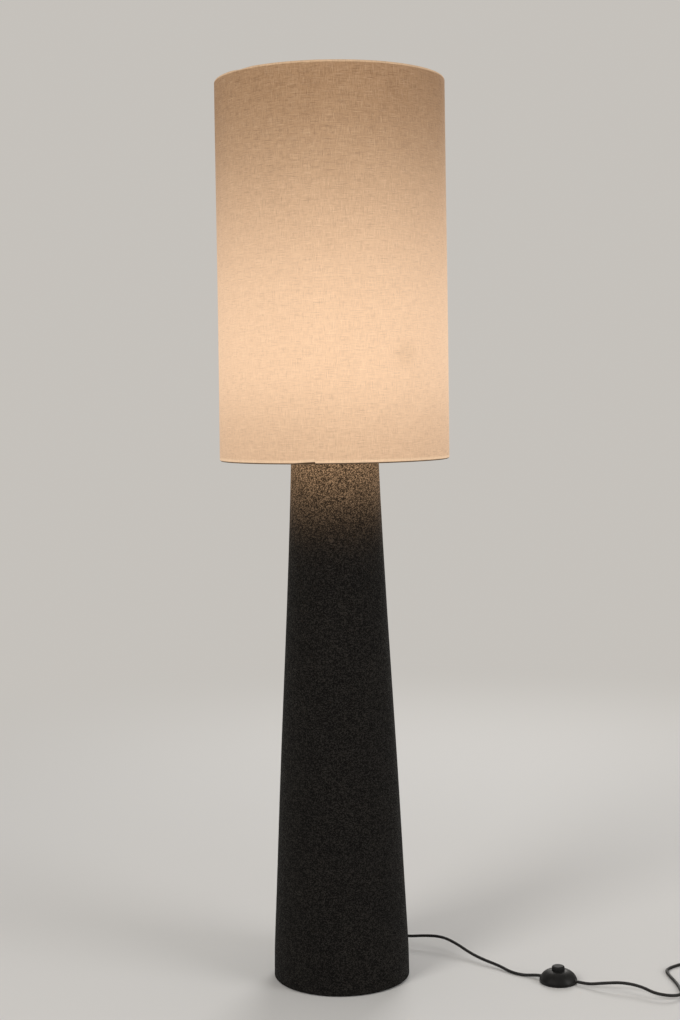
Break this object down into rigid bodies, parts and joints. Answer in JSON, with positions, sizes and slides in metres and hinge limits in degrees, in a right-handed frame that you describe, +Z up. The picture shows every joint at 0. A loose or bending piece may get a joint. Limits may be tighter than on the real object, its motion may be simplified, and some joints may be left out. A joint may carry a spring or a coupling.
{
  "type": "floor lamp",
  "caption": "Floor lamp with a tapered pitted black column, a tall linen drum shade, and a black cord with a domed foot switch, a put-away coil and a flat plug.",
  "frame": {"origin": "on the floor at the centre of the column's foot", "axes": "+Z up along the column, +Y to the back where the cord leaves, -Y to the front that the picture shows"},
  "size_m": [0.9621, 0.3844, 1.5],
  "materials": {
    "column_skin": "matt, pitted",
    "cover_board": "painted matt black",
    "felt": "felt",
    "plated_steel": "zinc plated",
    "weight_iron": "as cast",
    "cap_metal": "satin black",
    "holder_plastic": "fine matt",
    "insert_ceramic": "unglazed",
    "contact_brass": "bright",
    "bulb_glass": "clear",
    "bulb_cap_metal": "bright",
    "bulb_insulator_glass": "glazed black",
    "filament": "phosphor coated",
    "shade_wire": "satin white",
    "shade_lining": "translucent",
    "shade_linen": "slubby plain weave",
    "cord_jacket": "matt",
    "gland_rubber": "matt",
    "switch_plastic": "satin",
    "switch_grip": "matt",
    "wheel_plastic": "natural",
    "plug_plastic": "satin"
  },
  "bodies": {
    "lamp": {"base_shell": "column_skin", "bottom_cover": "cover_board", "floor_pads": "felt", "cover_screws": "plated_steel", "tie_plate": "plated_steel", "ballast_weight": "weight_iron", "threaded_rod": "plated_steel", "lower_washer": "plated_steel", "lower_nut": "plated_steel", "top_cap": "cap_metal", "neck_sleeve": "cap_metal", "holder_cap": "holder_plastic", "holder_body": "holder_plastic", "holder_insert": "insert_ceramic", "holder_screw_shell": "contact_brass", "holder_contact": "contact_brass", "holder_terminal_screws": "plated_steel", "shade_ring_lower": "holder_plastic", "shade_ring_upper": "holder_plastic", "bulb_glass": "bulb_glass", "bulb_cap": "bulb_cap_metal", "bulb_insulator": "bulb_insulator_glass", "bulb_contact": "contact_brass", "bulb_stem": "bulb_glass", "bulb_filaments": "filament", "shade_carrier": "shade_wire", "shade_top_ring": "shade_wire", "shade_liner": "shade_lining", "shade_fabric": "shade_linen", "cord_gland": "gland_rubber", "gland_nut": "holder_plastic", "inner_cord": "cord_jacket", "cord_base_to_switch": "cord_jacket", "switch_pad": "switch_grip", "switch_base": "switch_plastic", "switch_cover": "switch_plastic", "switch_spring": "plated_steel", "switch_rotor": "wheel_plastic", "switch_contacts": "contact_brass", "switch_terminals": "plated_steel", "switch_clamps": "switch_plastic", "switch_screws": "plated_steel", "cord_switch_to_coil": "cord_jacket", "cord_coil": "cord_jacket", "plug_body": "plug_plastic", "plug_face": "plug_plastic", "plug_pins": "contact_brass", "plug_sleeves": "plug_plastic"},
    "button": {"switch_button": "switch_plastic"}
  },
  "joints": [
    {"name": "button_press", "type": "slide", "parent": "lamp", "child": "button", "axis": [0, 0, -1], "range_m": [0, 0.004], "stiffness_N_per_m": 1500, "springref_m": -0.004, "deforming": ["switch_spring"]}
  ]
}
